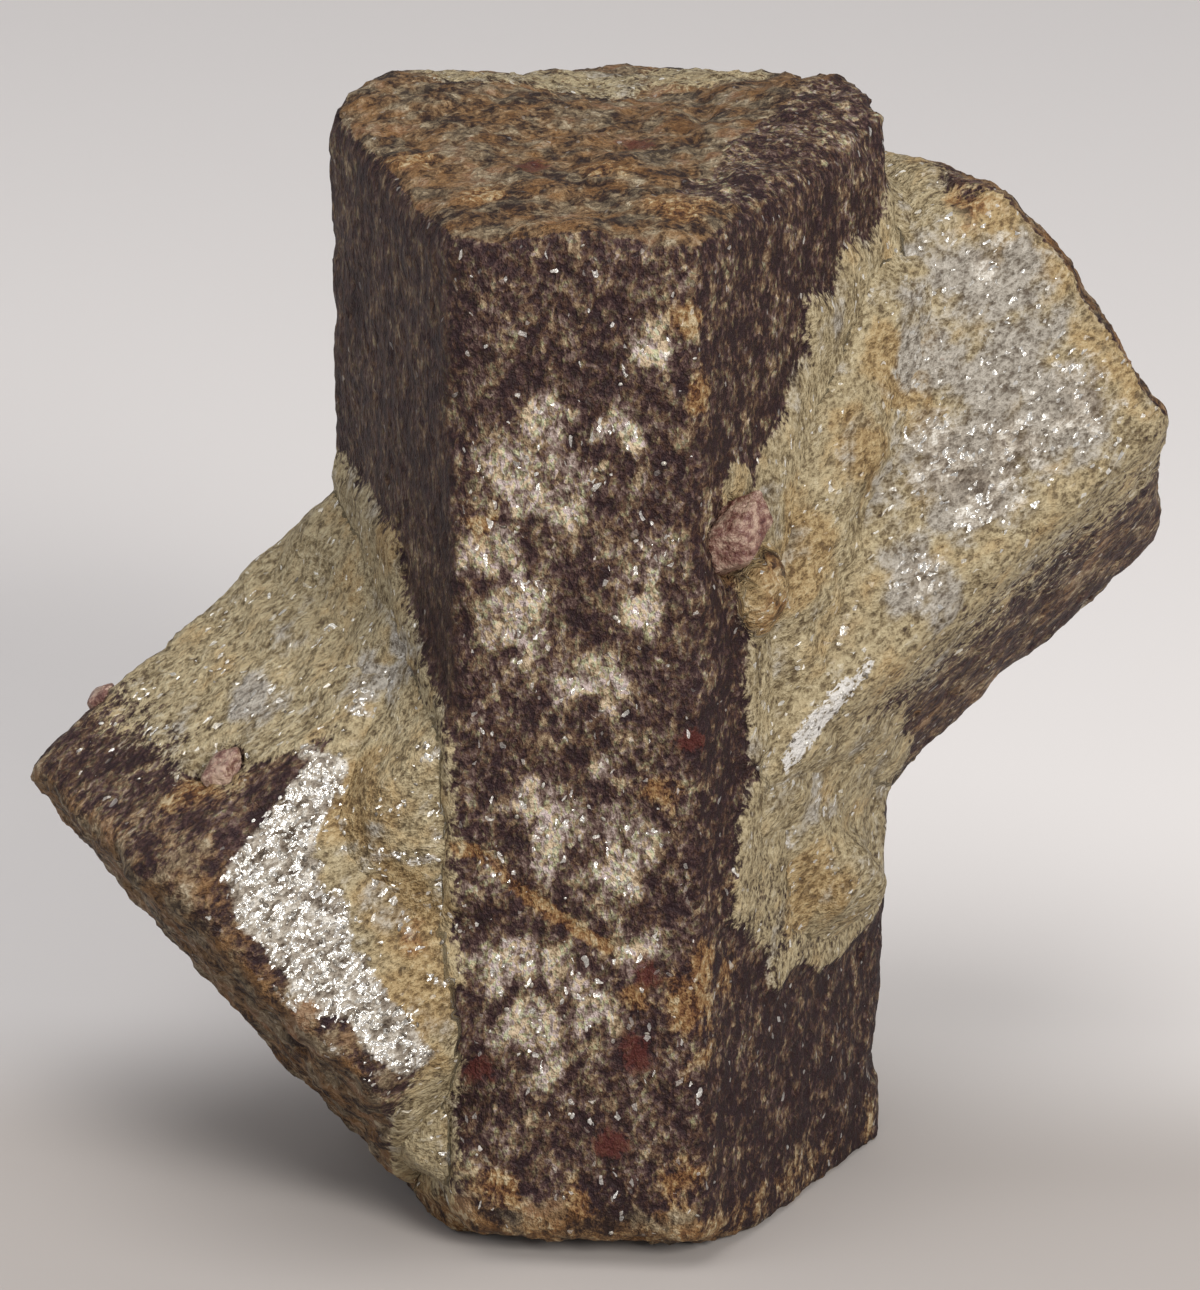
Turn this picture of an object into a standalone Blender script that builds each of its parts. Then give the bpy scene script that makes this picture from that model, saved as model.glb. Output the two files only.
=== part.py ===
"""Staurolite twin crystal: two six-sided prisms grown through each other at the mineral's 60
degree twin angle, with mica schist left in the inner corners and three small garnets.

Metres, +Z up. Everything is modelled about the middle of the upright crystal, whose long axis c
is along Z and whose broad front face b looks along -Y. The crossing crystal is the upright one
turned half a turn about the normal of the twin plane. At the end the specimen is moved so that
it stands on Z = 0 with the middle of its footprint at the origin.
"""

import math

import bmesh
import bpy
import numpy as np
from mathutils import Matrix, Vector, noise

MM = 0.001

# The mineral: the edges of its unit cell, of which only the ratio matters, and its twin plane.
CELL = Vector((7.871, 16.620, 5.656))
TWIN_PLANE = (-2, -3, 1)

# The upright crystal: the distance of each face from its middle.
UPRIGHT_FRONT = 14.5 * MM
UPRIGHT_REAR = 12.6 * MM
UPRIGHT_SIDE = 10.7 * MM
UPRIGHT_BASE = 23.3 * MM
FOOT_SPARE = 1.2 * MM
TOP_FRONT_HEIGHT = 21.8 * MM
TOP_FRONT_TILT = math.radians(4.6)
TOP_REAR_HEIGHT = 22.0 * MM
TOP_REAR_TILT = math.radians(5.0)
FOOT_FRONT_HEIGHT = 21.9 * MM
FOOT_FRONT_TILT = math.radians(21)

# The two arms of the crossing crystal grew unevenly: the left one sits further back.
RIGHT_ARM = dict(front=10.8 * MM, upper=10.6 * MM, lower=11.7 * MM, back=10.3 * MM,
                 under=9.7 * MM, rear=8.6 * MM, tip=23.5 * MM)
LEFT_ARM = dict(front=6.3 * MM, upper=7.6 * MM, lower=9.9 * MM, back=12.1 * MM,
                under=11.8 * MM, rear=9.6 * MM, tip=23.4 * MM)
ARM_ROOT = 1.5 * MM

# Worn arm tips: (side it leans to in crystal axes, tilt, distance to that side, height there).
RIGHT_TIP_SLOPES = (
    ((-1, 0, 0), math.radians(12), 11.8 * MM, 22.8 * MM),
    ((0, 1, 0), math.radians(11), 11.7 * MM, 22.1 * MM),
    ((0, -1, 0), math.radians(18), 10.3 * MM, 19.9 * MM),
    ((1, 0, 0), math.radians(12), 10.0 * MM, 21.5 * MM),
)
LEFT_TIP_SLOPES = (
    ((1, 0, 0), math.radians(6), 10.0 * MM, 21.5 * MM),
    ((0, 1, 0), math.radians(6), 10.0 * MM, 21.9 * MM),
)

# Solids are cut from a block of this size, with points closer than this taken as one.
BLOCK = 80 * MM
SAME_POINT = 1e-7

# The worn crystal ends, which count as an end where the surface looks along the crystal.
VOXEL = 0.42 * MM
WEAR_ROUNDS = 4
END_WEAR_ROUNDS = 26
END_WEAR_FROM = 18.5 * MM
END_WEAR_SPAN = 3.0 * MM
END_WEAR_PATCH = 6.0 * MM
END_WEAR_MEAN = 0.7
END_WEAR_SPREAD = 0.5
END_FACING = (0.5, 0.9)
END_ROUGHNESS = 0.45 * MM
END_LUMP = 3.2 * MM

# The chipped edges, and the slight waves and growth lines on the long faces.
CHIP_DEPTH = 1.1 * MM
CHIP_WIDTH = 1.3 * MM
CHIP_SIZE = 2.6 * MM
CHIP_LEAST = 0.15
FACE_WAVINESS = 0.12 * MM
FACE_WAVE = 5.0 * MM
STRIATION_DEPTH = 0.08 * MM
STRIATION_WIDTH = 1.3 * MM
STRIATION_STRETCH = 0.12

# Two low humps on the upright crystal's top.
TOP_HUMPS = ((-9.0 * MM, 3.0 * MM), (9.5 * MM, 3.0 * MM))
TOP_HUMPS_FROM = 20.0 * MM
TOP_FACING = 0.7
TOP_HUMP_HEIGHT = 1.0 * MM
TOP_HUMP_RADIUS = 4.0 * MM
TWIN_TRIANGLES = 7400

# The schist in the inner corners: how far it reaches from the corner and how much it fills.
SCHIST_VOXEL = 0.75 * MM
SCHIST_REACH = 9.0 * MM
SCHIST_ROUNDS = 400
SCHIST_ROUGHNESS = 0.35 * MM
SCHIST_LUMP = 3.0 * MM
SCHIST_GAP = 0.42 * MM
SCHIST_LEAST = 5 * MM**3
SCHIST_TRIANGLES = 3400
NOTCH_LOWER = 16.0 * MM
NOTCH_SET_BACK = 0.25 * MM
SCHIST_WEAR_ROUNDS = 9
CORNER_ROOM = 5.0 * MM

# The schist that webs the left arm to the upright crystal's front edge, the ledge of it beside
# the right arm and the shelf of it under that arm: the planes that bound each one.
WEB_PLANES = (
    (Vector((-0.546, -0.570, 0.613)), 11.4 * MM),
    (Vector((-0.550, -0.739, 0.390)), 14.1 * MM),
    (Vector((0, -1, 0)), 14.4 * MM),
    (Vector((0, 1, 0)), 0.0),
)
LEDGE_PLANES = (
    (Vector((0.550, -0.835, 0)), 13.1 * MM),
    (Vector((0.723, -0.662, 0.195)), 13.8 * MM),
    (Vector((-0.430, -0.903, 0)), 7.1 * MM),
)
SHELF_PLANES = (
    (Vector((0.857, -0.482, -0.178)), 12.9 * MM),
    (Vector((0.301, -0.856, 0.420)), 10.5 * MM),
    (Vector((0.995, 0.100, 0)), 11.6 * MM),
    (Vector((-1, 0, 0)), 0.0),
    (Vector((0, 1, 0)), -1.0 * MM),
    (Vector((0, -1, 0)), 12.3 * MM),
    (Vector((0, 0, 1)), 0.0),
    (Vector((0, 0, -1)), 12.6 * MM),
)
SCHIST_PLACES = (
    ("matrix_left", Vector((-9.0, -9.5, -0.5)) * MM),
    ("matrix_left_low", Vector((-6.6, -13.1, -18.3)) * MM),
    ("matrix_right", Vector((10.4, -3.0, 12.8)) * MM),
    ("matrix_right_low", Vector((9.6, -6.1, -6.5)) * MM),
    ("matrix_back_left", Vector((-11.1, 2.3, -12.0)) * MM),
    ("matrix_back_right", Vector((7.3, 9.7, -2.3)) * MM),
)

# Garnets: name, middle, distance of the faces from it, and stretch along Z.
GARNETS = (
    ("garnet_front", Vector((6.2, -11.9, 8.6)) * MM, 1.45 * MM, 1.2),
    ("garnet_left", Vector((-15.3, -10.7, -2.7)) * MM, 1.05 * MM, 1.0),
    ("garnet_tip", Vector((-21.5, -4.4, -1.9)) * MM, 0.7 * MM, 1.0),
)
GARNET_WEAR = 0.12 * MM
GARNET_TURN = (0.4, 0.2, 0.7)
SEAT_GAP = 0.3 * MM
NEAR = 1.5 * MM

# The look of each mineral: colour and roughness.
STAUROLITE = ((0.085, 0.055, 0.045), 0.5)
SCHIST = ((0.36, 0.31, 0.21), 0.7)
GARNET = ((0.20, 0.045, 0.06), 0.35)

UP = Vector((0, 0, 1))
DOWN = Vector((0, 0, -1))


def face_normal(h, k, l):
    """The direction that the crystal face with these Miller indices looks in."""
    return Vector((h / CELL.x, k / CELL.y, l / CELL.z)).normalized()


def leaning_end(end, side, tilt, reach, height):
    """An end face that leans to one side, at this height where it is `reach` from the axis."""
    normal = end * math.cos(tilt) + Vector(side).normalized() * math.sin(tilt)
    return normal, height * math.cos(tilt) + reach * math.sin(tilt)


def upright_faces():
    """The upright crystal as (outward normal, distance) pairs."""
    faces = [((0, -1, 0), UPRIGHT_FRONT), ((0, 1, 0), UPRIGHT_REAR)]
    faces += [((h, k, 0), UPRIGHT_SIDE) for h in (-1, 1) for k in (-1, 1)]
    faces = [(face_normal(*indices), distance) for indices, distance in faces]
    front, rear = (0, -1, 0), (0, 1, 0)
    faces += [
        leaning_end(UP, front, TOP_FRONT_TILT, UPRIGHT_FRONT, TOP_FRONT_HEIGHT),
        leaning_end(UP, rear, TOP_REAR_TILT, UPRIGHT_REAR, TOP_REAR_HEIGHT),
        leaning_end(DOWN, front, FOOT_FRONT_TILT, UPRIGHT_FRONT, FOOT_FRONT_HEIGHT),
        (DOWN, UPRIGHT_BASE + FOOT_SPARE),
    ]
    return faces


def arm_faces(sizes, end, slopes):
    """One arm of the crossing crystal, from just past the middle out to its tip."""
    sides = dict(front=(-1, 1, 0), upper=(-1, -1, 0), lower=(0, 1, 0),
                 back=(0, -1, 0), under=(1, 1, 0), rear=(1, -1, 0))
    faces = [(face_normal(*sides[name]), sizes[name]) for name in sides]
    faces += [(end, sizes["tip"]), (-end, ARM_ROOT)]
    faces += [leaning_end(end, *slope) for slope in slopes]
    turn = Matrix.Rotation(math.pi, 3, face_normal(*TWIN_PLANE))
    return [(turn @ normal, distance) for normal, distance in faces]


def notch_faces():
    """The schist that fills the notch under the left arm, flush with the upright front face."""
    faces = arm_faces(dict(LEFT_ARM, lower=NOTCH_LOWER), UP, LEFT_TIP_SLOPES)
    front = face_normal(0, -1, 0)
    faces = [(normal, distance - NOTCH_SET_BACK) for normal, distance in faces]
    return faces + [(front, UPRIGHT_FRONT - NOTCH_SET_BACK)]


def web_faces():
    """The schist that webs the left arm to the upright crystal's front edge."""
    room = {side: LEFT_ARM[side] + CORNER_ROOM for side in ("front", "upper")}
    return arm_faces(dict(LEFT_ARM, **room), UP, LEFT_TIP_SLOPES) + list(WEB_PLANES)


def ledge_faces():
    """The ledge of schist beside the right arm, with its sharp edge along the upright crystal."""
    room = {"front": RIGHT_ARM["front"] + CORNER_ROOM}
    return arm_faces(dict(RIGHT_ARM, **room), DOWN, RIGHT_TIP_SLOPES) + list(LEDGE_PLANES)


def material(name, colour, roughness):
    found = bpy.data.materials.new(name)
    found.use_nodes = True
    shader = found.node_tree.nodes["Principled BSDF"]
    shader.inputs["Base Color"].default_value = (*colour, 1)
    shader.inputs["Roughness"].default_value = roughness
    shader.inputs["Metallic"].default_value = 0.0
    return found


def add_object(name, mesh, collection, surface=None):
    made = bpy.data.objects.new(name, mesh)
    collection.objects.link(made)
    if surface:
        mesh.materials.clear()
        mesh.materials.append(surface)
    return made


def add_helper(name, mesh, collection):
    """An object that only shapes others."""
    made = add_object(name, mesh, collection)
    made.hide_render = True
    made.display_type = "WIRE"
    return made


def cut_block(name, faces, grow=0.0):
    """A closed crystal: a block cut down to its faces, which `grow` moves outward."""
    shape = bmesh.new()
    bmesh.ops.create_cube(shape, size=BLOCK)
    for normal, distance in faces:
        everything = shape.verts[:] + shape.edges[:] + shape.faces[:]
        cut = bmesh.ops.bisect_plane(
            shape, geom=everything, dist=SAME_POINT, plane_co=normal * (distance + grow),
            plane_no=normal, clear_outer=True)
        rim = [item for item in cut["geom_cut"] if isinstance(item, bmesh.types.BMEdge)]
        if rim:
            bmesh.ops.contextual_create(shape, geom=rim)
    bmesh.ops.recalc_face_normals(shape, faces=shape.faces)
    mesh = bpy.data.meshes.new(name)
    shape.to_mesh(mesh)
    shape.free()
    return mesh


def add_boolean(target, other, operation):
    step = target.modifiers.new(f"{operation.lower()} {other.name}", "BOOLEAN")
    step.operation = operation
    step.solver = "EXACT"
    step.object = other


def settle(made):
    """Replaces an object's mesh by what its modifiers make of it."""
    graph = bpy.context.evaluated_depsgraph_get()
    mesh = bpy.data.meshes.new_from_object(made.evaluated_get(graph))
    made.modifiers.clear()
    made.data = mesh


def add_remesh(made, size):
    step = made.modifiers.new("even out", "REMESH")
    step.mode = "VOXEL"
    step.voxel_size = size


def add_smooth(made, rounds, group=""):
    step = made.modifiers.new("wear", "SMOOTH")
    step.factor = 0.5
    step.iterations = rounds
    step.vertex_group = group


def add_decimate(made, triangles):
    step = made.modifiers.new("fewer faces", "DECIMATE")
    made.data.calc_loop_triangles()
    step.ratio = min(1.0, triangles / len(made.data.loop_triangles))
    step.use_collapse_triangulate = True


def points_of(mesh):
    points = np.empty(len(mesh.vertices) * 3)
    mesh.vertices.foreach_get("co", points)
    return points.reshape(-1, 3)


def normals_of(mesh):
    normals = np.empty(len(mesh.vertices) * 3)
    mesh.vertex_normals.foreach_get("vector", normals)
    return normals.reshape(-1, 3)


def beyond_faces(faces, points):
    """How far each point lies beyond the two faces it is nearest to, negative behind them."""
    normals = np.array([normal for normal, _ in faces])
    distances = np.array([distance for _, distance in faces])
    return np.sort(points @ normals.T - distances, axis=1)[:, -2:]


def depth_outside(faces, points):
    """How far each point lies outside a crystal, negative inside it."""
    return beyond_faces(faces, points)[:, 1]


def lumps(point, size, octaves):
    """Smooth seeded noise of about -1 to 1, with lumps of this size."""
    return noise.fractal(Vector(point) / size, 0.9, 2.1, octaves)


def owners_of(crystals, points):
    """The number of the crystal whose surface each point lies on."""
    return np.abs([depth_outside(faces, points) for faces, _ in crystals]).argmin(axis=0)


def clear_of_corners(crystals, points):
    """How far each point is from the inner corners, where the two crystals meet."""
    outside = np.array([depth_outside(faces, points) for faces, _ in crystals])
    return np.maximum(outside[0], outside[1:].min(axis=0))


def wear_ends(made, crystals):
    """Rounds the ends of the crystals, more in some places than in others."""
    points = points_of(made.data)
    owners = owners_of(crystals, points)
    from_corner = clear_of_corners(crystals, points)
    group = made.vertex_groups.new(name="ends")
    for i, point in enumerate(points):
        along = abs(point @ crystals[owners[i]][1])
        patchy = END_WEAR_MEAN + END_WEAR_SPREAD * lumps(point, END_WEAR_PATCH, 1)
        weight = patchy * (along - END_WEAR_FROM) / END_WEAR_SPAN
        weight = min(1.0, weight, from_corner[i] / END_WEAR_SPAN - 0.5)
        if weight > 0:
            group.add([i], weight, "REPLACE")
    add_smooth(made, END_WEAR_ROUNDS, "ends")


def roughen(mesh, crystals):
    """Makes the ends rough, chips the edges, and gives the long faces slight waves and lines
    along their axis."""
    points, normals = points_of(mesh), normals_of(mesh)
    owners = owners_of(crystals, points)
    beyond = np.array([beyond_faces(faces, points)[:, 0] for faces, _ in crystals])
    for i, (point, normal) in enumerate(zip(points, normals)):
        if point[2] < -UPRIGHT_BASE:
            continue
        axis = crystals[owners[i]][1]
        edge = max(0.0, 1 + beyond[owners[i], i] / CHIP_WIDTH)
        chip = CHIP_DEPTH * edge * max(0.0, lumps(point, CHIP_SIZE, 2) - CHIP_LEAST)
        end = np.interp(abs(normal @ axis), END_FACING, (0, 1))
        along = (point @ axis) * axis
        stretched = point - along + STRIATION_STRETCH * along
        rough = END_ROUGHNESS * lumps(point, END_LUMP, 3)
        waves = FACE_WAVINESS * lumps(point, FACE_WAVE, 2)
        lines = STRIATION_DEPTH * lumps(stretched, STRIATION_WIDTH, 1)
        height = end * rough + (1 - end) * (waves + lines) - chip
        if normal[2] > TOP_FACING and point[2] > TOP_HUMPS_FROM:
            height += TOP_HUMP_HEIGHT * sum(
                math.exp(-((point[0] - x) ** 2 + (point[1] - y) ** 2) / TOP_HUMP_RADIUS**2)
                for x, y in TOP_HUMPS)
        points[i] = point + normal * height
    mesh.vertices.foreach_set("co", points.ravel())
    mesh.update()


def flatten_foot(mesh):
    """Cuts the rough foot flat, so that the specimen stands."""
    shape = bmesh.new()
    shape.from_mesh(mesh)
    everything = shape.verts[:] + shape.edges[:] + shape.faces[:]
    cut = bmesh.ops.bisect_plane(
        shape, geom=everything, dist=SAME_POINT, plane_co=DOWN * UPRIGHT_BASE, plane_no=DOWN,
        clear_outer=True)
    rim = [item for item in cut["geom_cut"] if isinstance(item, bmesh.types.BMEdge)]
    bmesh.ops.edgenet_fill(shape, edges=rim)
    bmesh.ops.triangulate(shape, faces=shape.faces)
    bmesh.ops.recalc_face_normals(shape, faces=shape.faces)
    shape.to_mesh(mesh)
    shape.free()


def joined_crystals(name, crystals, helpers, grow=0.0):
    """The crystals as one closed solid with sharp faces."""
    first, *others = [
        add_helper(f"{name} {i}", cut_block(f"{name} {i}", faces, grow), helpers)
        for i, (faces, _) in enumerate(crystals)
    ]
    for other in others:
        add_boolean(first, other, "UNION")
    settle(first)
    return first


def make_twin(crystals, parts, helpers):
    twin = add_object("staurolite_twin", joined_crystals("crystal", crystals, helpers).data, parts,
                      material("staurolite", *STAUROLITE))
    add_remesh(twin, VOXEL)
    settle(twin)
    wear_ends(twin, crystals)
    add_smooth(twin, WEAR_ROUNDS)
    settle(twin)
    roughen(twin.data, crystals)
    add_decimate(twin, TWIN_TRIANGLES)
    settle(twin)
    flatten_foot(twin.data)
    return twin


def make_filled(crystals, helpers):
    """The twin with its inner corners filled to a smooth hollow curve."""
    filled = joined_crystals("filled", crystals, helpers)
    add_remesh(filled, SCHIST_VOXEL)
    settle(filled)
    points = points_of(filled.data)
    weights = np.clip(1 - clear_of_corners(crystals, points) / SCHIST_REACH, 0, 1)
    group = filled.vertex_groups.new(name="corners")
    for i in np.flatnonzero(weights):
        group.add([int(i)], float(weights[i]), "REPLACE")
    add_smooth(filled, SCHIST_ROUNDS, "corners")
    settle(filled)
    fillings = dict(notch=notch_faces(), web=web_faces(), ledge=ledge_faces(),
                    shelf=SHELF_PLANES)
    for name, faces in fillings.items():
        add_boolean(filled, add_helper(name, cut_block(name, faces), helpers), "UNION")
    add_remesh(filled, SCHIST_VOXEL)
    add_smooth(filled, SCHIST_WEAR_ROUNDS)
    settle(filled)
    points, normals = points_of(filled.data), normals_of(filled.data)
    heights = np.array([SCHIST_ROUGHNESS * lumps(point, SCHIST_LUMP, 2) for point in points])
    filled.data.vertices.foreach_set("co", (points + normals * heights[:, None]).ravel())
    return filled


def middle_of(shape):
    return sum((vert.co for vert in shape.verts), Vector()) / len(shape.verts)


def reaches(made, place, radius):
    """Whether any point of this object's mesh comes near a sphere, with room to spare."""
    distances = np.linalg.norm(points_of(made.data) - np.array(place), axis=1)
    return distances.min() < radius + SEAT_GAP + NEAR


def loose_pieces(mesh):
    """The separate closed bodies in a mesh, each as a bmesh."""
    whole = bmesh.new()
    whole.from_mesh(mesh)
    left = set(whole.verts)
    pieces = []
    while left:
        piece, frontier = set(), {left.pop()}
        while frontier:
            piece |= frontier
            beyond = {edge.other_vert(vert) for vert in frontier for edge in vert.link_edges}
            frontier = beyond - piece
        left -= piece
        indices = {vert.index for vert in piece}
        part = whole.copy()
        part.verts.ensure_lookup_table()
        bmesh.ops.delete(part, geom=[v for v in part.verts if v.index not in indices])
        pieces.append(part)
    whole.free()
    return pieces


def make_matrix(crystals, parts, helpers):
    """The schist in each inner corner: what the filled corner holds outside the crystals."""
    filled = make_filled(crystals, helpers)
    add_decimate(filled, SCHIST_TRIANGLES)
    settle(filled)
    grown = joined_crystals("grown crystals", crystals, helpers, SCHIST_GAP)
    add_boolean(filled, grown, "DIFFERENCE")
    settle(filled)
    pieces = [piece for piece in loose_pieces(filled.data)
              if piece.calc_volume() > SCHIST_LEAST]
    schist = material("mica schist", *SCHIST)
    made = []
    for name, place in SCHIST_PLACES:
        nearest = min(pieces, key=lambda piece: (middle_of(piece) - place).length)
        mesh = bpy.data.meshes.new(name)
        nearest.to_mesh(mesh)
        made.append(add_object(name, mesh, parts, schist))
    return made


def garnet_faces(distance):
    """The twelve faces of a garnet crystal, all at one distance from its middle."""
    corners = [Vector((x, y, 0)) for x in (-1, 1) for y in (-1, 1)]
    normals = [v.yzx for v in corners] + [v.zxy for v in corners] + corners
    return [(normal.normalized(), distance) for normal in normals]


def make_garnet(name, place, distance, stretch, neighbours, parts, helpers):
    """A small garnet in a seat of its own, half sunk in what it grew in."""
    shape = Matrix.Diagonal((1, 1, stretch, 1))
    seat = add_helper(f"{name} seat", cut_block(name, garnet_faces(distance), SEAT_GAP), helpers)
    garnet = add_object(name, cut_block(name, garnet_faces(distance)), parts,
                        material(name.replace("_", " "), *GARNET))
    for made in (seat, garnet):
        made.data.transform(shape)
        made.location = place
        made.rotation_euler = GARNET_TURN
    wear = garnet.modifiers.new("worn edges", "BEVEL")
    wear.width = GARNET_WEAR
    wear.segments = 2
    for neighbour in neighbours:
        add_boolean(neighbour, seat, "DIFFERENCE")


def stand_up(parts, helpers):
    """Moves the specimen so that it rests on Z = 0, centred over the origin."""
    graph = bpy.context.evaluated_depsgraph_get()
    points = np.concatenate([
        points_of(made.evaluated_get(graph).to_mesh()) + np.array(made.location)
        for made in parts.objects])
    middle = (points.min(axis=0) + points.max(axis=0)) / 2
    specimen = bpy.data.objects.new("specimen", None)
    parts.objects.link(specimen)
    specimen.location = (-middle[0], -middle[1], UPRIGHT_BASE)
    for made in [*parts.objects, *helpers.objects]:
        if made != specimen:
            made.parent = specimen


def main():
    for old in list(bpy.data.objects):
        bpy.data.objects.remove(old)
    parts = bpy.data.collections.new("staurolite twin crystal")
    helpers = bpy.data.collections.new("cutters")
    helpers.hide_render = True
    bpy.context.scene.collection.children.link(parts)
    bpy.context.scene.collection.children.link(helpers)
    turn = Matrix.Rotation(math.pi, 3, face_normal(*TWIN_PLANE))
    crossing_axis = np.array(turn @ UP)
    crystals = [
        (upright_faces(), np.array(UP)),
        (arm_faces(RIGHT_ARM, DOWN, RIGHT_TIP_SLOPES), crossing_axis),
        (arm_faces(LEFT_ARM, UP, LEFT_TIP_SLOPES), crossing_axis),
    ]
    rocks = [make_twin(crystals, parts, helpers), *make_matrix(crystals, parts, helpers)]
    for name, place, distance, stretch in GARNETS:
        neighbours = [rock for rock in rocks if reaches(rock, place, distance * stretch)]
        make_garnet(name, place, distance, stretch, neighbours, parts, helpers)
    stand_up(parts, helpers)


main()
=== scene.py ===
"""The looks of the staurolite twin crystal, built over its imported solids.

The dark crystal, the schist in its inner corners and the garnets each get a fine, rough mesh of
their own, made from the solid that it stands for, and mica flakes lie scattered over them.
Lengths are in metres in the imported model's frame: +Z up, the specimen standing on Z = 0.
"""

import math

import bmesh
import bpy
import numpy as np
from mathutils import Matrix, Vector, noise
from mathutils.bvhtree import BVHTree


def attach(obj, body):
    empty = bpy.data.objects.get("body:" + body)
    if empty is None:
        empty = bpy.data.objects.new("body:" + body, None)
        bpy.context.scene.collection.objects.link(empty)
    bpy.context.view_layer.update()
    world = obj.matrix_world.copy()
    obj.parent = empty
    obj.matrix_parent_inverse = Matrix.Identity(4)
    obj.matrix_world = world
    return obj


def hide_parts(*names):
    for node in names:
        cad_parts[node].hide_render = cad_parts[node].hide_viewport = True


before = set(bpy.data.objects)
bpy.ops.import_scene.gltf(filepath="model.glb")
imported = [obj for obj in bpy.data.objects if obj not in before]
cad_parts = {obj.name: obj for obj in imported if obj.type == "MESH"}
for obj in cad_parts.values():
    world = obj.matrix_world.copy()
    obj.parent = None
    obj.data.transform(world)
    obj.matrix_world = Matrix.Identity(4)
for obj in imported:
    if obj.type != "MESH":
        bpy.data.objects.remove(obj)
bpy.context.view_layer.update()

MM = 0.001

# Points of a CAD mesh that are closer than this are one point.
SAME_POINT = 1e-6

# Where the middle of the upright crystal is. Places on the specimen are given from here, in
# millimetres: x to the right, y away from the front face, z up.
MIDDLE = np.array((0.374, -0.628, 23.3)) * MM

# The mineral's cell edges (in angstroms; only their ratios matter) and its twin plane.
CELL = (7.871, 16.620, 5.656)
TWIN_PLANE = (-2, -3, 1)

# How far the side faces of the two crystals are from the middle.
UPRIGHT_FRONT = 14.5 * MM
UPRIGHT_REAR = 12.6 * MM
UPRIGHT_SIDE = 10.7 * MM
LEFT_ARM_FRONT = 6.3 * MM
RIGHT_ARM_FRONT = 11.2 * MM
LEFT_ARM_UPPER = 7.6 * MM

# The camera: where it stands, how it is turned and shifted, and its lens in millimetres.
CAMERA_AZIMUTH = math.radians(5.7617)
CAMERA_ELEVATION = math.radians(19.7717)
CAMERA_ROLL = math.radians(-0.5821)
CAMERA_DISTANCE = 244.26 * MM
CAMERA_RIGHT = -0.519 * MM
CAMERA_UP = -0.519 * MM
CAMERA_LENS = 158.53


def face_normal(h, k, l):
    """The direction that the crystal face with these Miller indices looks in."""
    return Vector((h / CELL[0], k / CELL[1], l / CELL[2])).normalized()


TWIN_TURN = np.array(Matrix.Rotation(math.pi, 3, face_normal(*TWIN_PLANE)))
ARM_AXIS = TWIN_TURN @ (0, 0, -1)
ARM_FRONT = TWIN_TURN @ face_normal(-1, 1, 0)
ARM_UPPER = TWIN_TURN @ face_normal(-1, -1, 0)
ARM_LOWER = TWIN_TURN @ face_normal(0, 1, 0)
FRONT_FACE = (0, -1, 0)
LEFT_FACE = face_normal(-1, -1, 0)
RIGHT_FACE = face_normal(1, -1, 0)
UPRIGHT_SIDES = [(FRONT_FACE, UPRIGHT_FRONT), ((0, 1, 0), UPRIGHT_REAR)]
UPRIGHT_SIDES += [((h, k, 0), UPRIGHT_SIDE) for h in (-1, 1) for k in (-1, 1)]


# ---- camera ----

def way_to(azimuth, elevation):
    """The direction from the specimen to something that looks at it from this side."""
    return Vector((math.sin(azimuth) * math.cos(elevation),
                   -math.cos(azimuth) * math.cos(elevation), math.sin(elevation)))


def make_camera():
    back = way_to(CAMERA_AZIMUTH, CAMERA_ELEVATION)
    level = Vector((math.cos(CAMERA_AZIMUTH), math.sin(CAMERA_AZIMUTH), 0))
    roll = Matrix.Rotation(CAMERA_ROLL, 3, back)
    right, up = roll @ level, roll @ back.cross(level)
    camera = bpy.data.objects.new("camera", bpy.data.cameras.new("camera"))
    bpy.context.scene.collection.objects.link(camera)
    place = Vector(MIDDLE) + back * CAMERA_DISTANCE + right * CAMERA_RIGHT + up * CAMERA_UP
    camera.matrix_world = Matrix.Translation(place) @ Matrix((right, up, back)).transposed().to_4x4()
    camera.data.lens = CAMERA_LENS
    camera.data.clip_start = CAMERA_DISTANCE / 20
    bpy.context.scene.camera = camera


# ---- meshes ----

# How much weaker and finer each octave of noise is than the one before.
NOISE_FALLOFF = 0.9
NOISE_STEP = 2.1


def points_of(mesh):
    points = np.empty(len(mesh.vertices) * 3)
    mesh.vertices.foreach_get("co", points)
    return points.reshape(-1, 3)


def normals_of(mesh):
    normals = np.empty(len(mesh.vertices) * 3)
    mesh.vertex_normals.foreach_get("vector", normals)
    return normals.reshape(-1, 3)


def set_points(mesh, points):
    mesh.vertices.foreach_set("co", points.ravel())
    mesh.update()


def store(mesh, name, values):
    """Keeps a number or a vector for each point of a mesh, for its material to read."""
    kind, field = ("FLOAT", "value") if values.ndim == 1 else ("FLOAT_VECTOR", "vector")
    kept = mesh.attributes.new(name, kind, "POINT")
    kept.data.foreach_set(field, values.astype(np.float32).ravel())


def add_object(name, mesh):
    made = bpy.data.objects.new(name, mesh)
    bpy.context.scene.collection.objects.link(made)
    return made


def settle(made):
    """Replaces an object's mesh by what its modifiers make of it."""
    graph = bpy.context.evaluated_depsgraph_get()
    mesh = bpy.data.meshes.new_from_object(made.evaluated_get(graph))
    mesh.name = made.name
    made.modifiers.clear()
    made.data = mesh


def merged_copy(node, name):
    """A new object with a CAD node's mesh, its loose triangles joined up."""
    shape = bmesh.new()
    shape.from_mesh(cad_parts[node].data)
    bmesh.ops.remove_doubles(shape, verts=shape.verts, dist=SAME_POINT)
    mesh = bpy.data.meshes.new(name)
    shape.to_mesh(mesh)
    shape.free()
    mesh.materials.clear()
    return add_object(name, mesh)


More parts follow.
